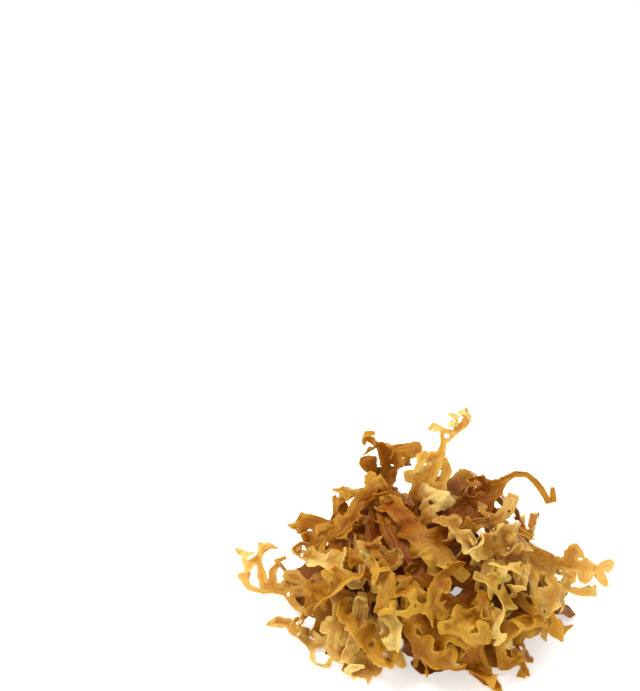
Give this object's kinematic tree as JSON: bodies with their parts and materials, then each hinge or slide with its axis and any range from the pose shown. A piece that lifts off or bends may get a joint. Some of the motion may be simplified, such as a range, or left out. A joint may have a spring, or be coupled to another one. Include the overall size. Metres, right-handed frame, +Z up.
{
  "type": "irish moss seaweed",
  "caption": "Loose tuft of dried irish moss: thin curled, forked and holed seaweed fronds tangled into a low heap that lies on a surface.",
  "frame": {"origin": "under the middle of the heap, on the flat underside of the frond base_back", "axes": "+Z up, +X along the heap's width to the right as seen from the front, +Y to the back"},
  "size_m": [0.1334, 0.1054, 0.0572],
  "materials": {
    "pale_frond": "satin",
    "golden_frond": "satin",
    "brown_frond": "satin",
    "dark_frond": "satin"
  },
  "bodies": {
    "root": {"back_frond_1": "golden_frond", "back_frond_2": "brown_frond", "back_frond_3": "pale_frond", "back_frond_4": "golden_frond", "back_frond_5": "brown_frond", "back_frond_6": "pale_frond", "back_frond_7": "golden_frond", "back_frond_8": "brown_frond", "back_frond_9": "pale_frond", "base_back": "dark_frond", "base_front": "brown_frond", "base_front_left": "brown_frond", "base_left": "dark_frond", "base_right": "dark_frond", "blunt_upright": "pale_frond", "bottom_blade": "golden_frond", "bottom_sheets": "pale_frond", "brown_curls": "brown_frond", "centre_band": "golden_frond", "dark_ribbon": "dark_frond", "inner_arch": "dark_frond", "inner_frond_1": "dark_frond", "inner_frond_2": "dark_frond", "inner_frond_3": "dark_frond", "inner_frond_4": "dark_frond", "inner_frond_5": "dark_frond", "inner_frond_6": "dark_frond", "inner_frond_7": "dark_frond", "inner_frond_8": "dark_frond", "left_band": "golden_frond", "left_middle": "golden_frond", "left_tendrils": "pale_frond", "long_tail": "brown_frond", "low_left": "pale_frond", "lower_right": "golden_frond", "olive_band": "golden_frond", "pale_hook": "pale_frond", "pale_ruffle": "pale_frond", "pale_ruffle_top": "pale_frond", "pointed_cup": "golden_frond", "ribbon_loop": "golden_frond", "right_brown": "brown_frond", "right_fan": "pale_frond", "small_uprights": "pale_frond", "spade_blade": "brown_frond", "square_cut": "pale_frond", "tall_frond": "pale_frond", "tangle_1": "pale_frond", "tangle_2": "golden_frond", "tangle_3": "pale_frond", "tangle_4": "golden_frond", "tangle_5": "pale_frond", "tangle_6": "golden_frond", "tangle_7": "pale_frond", "tangle_8": "golden_frond", "tangle_9": "pale_frond", "tangle_10": "golden_frond", "tangle_11": "pale_frond", "tangle_12": "golden_frond", "upper_ribbon": "golden_frond"}
  },
  "joints": []
}
